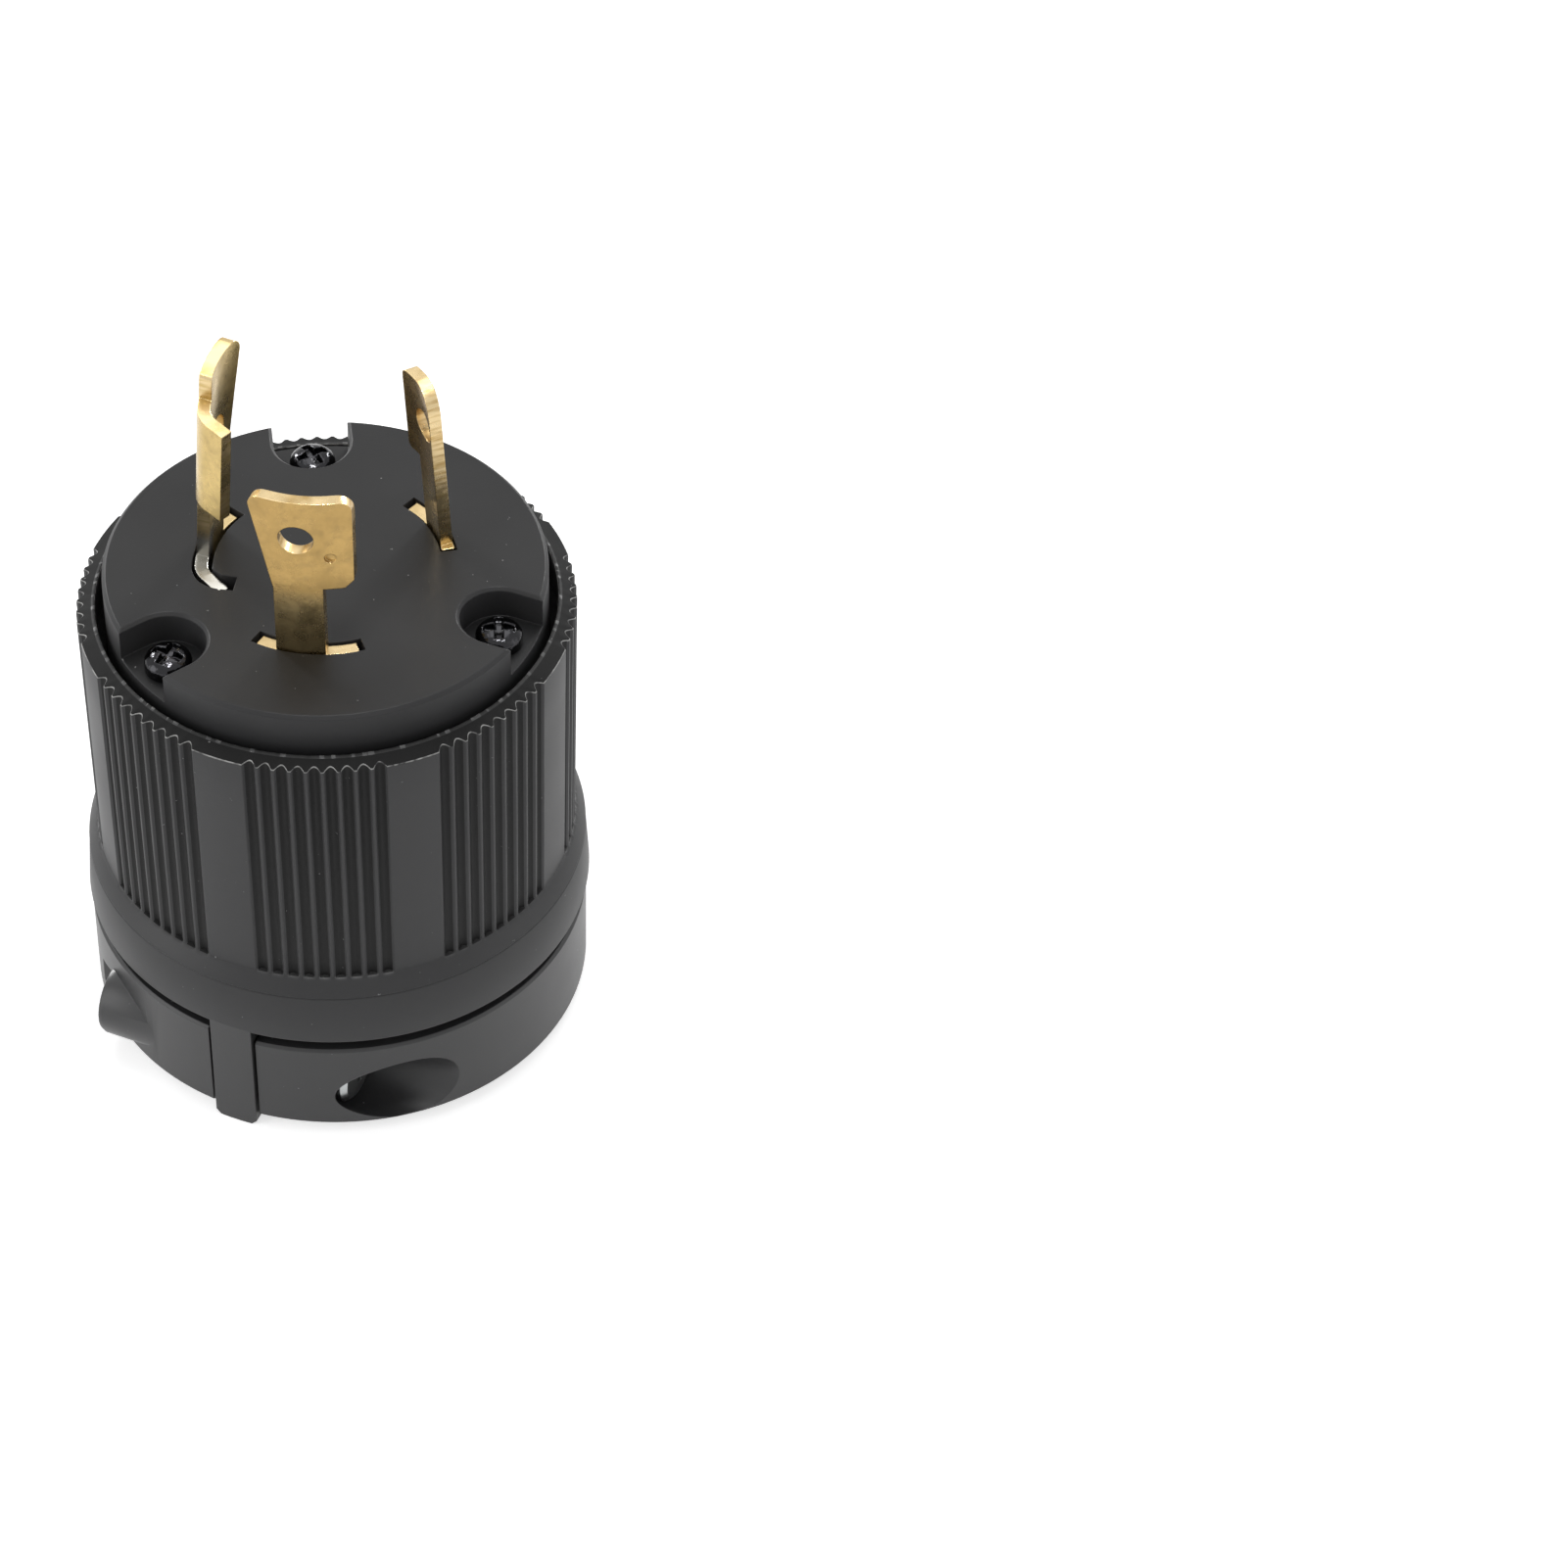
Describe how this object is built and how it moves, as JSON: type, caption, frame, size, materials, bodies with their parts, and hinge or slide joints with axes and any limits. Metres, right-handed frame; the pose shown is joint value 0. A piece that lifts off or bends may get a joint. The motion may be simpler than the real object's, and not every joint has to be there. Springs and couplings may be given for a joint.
{
  "type": "locking power plug",
  "caption": "Round locking power plug with hooked brass blades on a black nylon face, a ribbed grip sleeve and two clamp jaws for the cord.",
  "frame": {"origin": "on the plug's axis, at the feet of the two tabs and jaws on which it stands", "axes": "+Z along the axis from the cord end to the blades; +X and +Y across the face, the neutral blade towards -Y"},
  "size_m": [0.0571, 0.0597, 0.0851],
  "materials": {
    "body_nylon": "satin moulded nylon",
    "face_nylon": "fine matte moulded nylon",
    "block_nylon": "matte moulded nylon",
    "jaw_nylon": "satin moulded nylon",
    "blade_brass": "satin stamped sheet",
    "cage_brass": "bright stamped sheet",
    "plate_steel": "zinc plated",
    "nickel_screw": "nickel plated",
    "brass_screw": "bright",
    "green_screw": "green chromate",
    "black_screw": "glossy black oxide",
    "zinc_steel": "zinc plated"
  },
  "bodies": {
    "plug_body": {"housing": "body_nylon", "front_body": "face_nylon", "wiring_block": "block_nylon", "neutral_blade": "blade_brass", "line_blade": "blade_brass", "ground_blade": "blade_brass", "neutral_cage": "cage_brass", "neutral_pressure_plate": "plate_steel", "neutral_terminal_screw": "nickel_screw", "line_cage": "cage_brass", "line_pressure_plate": "plate_steel", "line_terminal_screw": "brass_screw", "ground_cage": "cage_brass", "ground_pressure_plate": "plate_steel", "ground_terminal_screw": "green_screw", "assembly_screws": "black_screw"},
    "front_jaw": {"front_clamp_jaw": "jaw_nylon", "clamp_screws": "zinc_steel"},
    "rear_jaw": {"rear_clamp_jaw": "jaw_nylon", "clamp_nuts": "zinc_steel"}
  },
  "joints": [
    {"name": "front_jaw_slide", "type": "slide", "parent": "plug_body", "child": "front_jaw", "axis": [0.866, -0.5, 0], "range_m": [0, 0.002]},
    {"name": "rear_jaw_slide", "type": "slide", "parent": "plug_body", "child": "rear_jaw", "axis": [-0.866, 0.5, 0], "range_m": [-0.0002, 0.0008]}
  ]
}
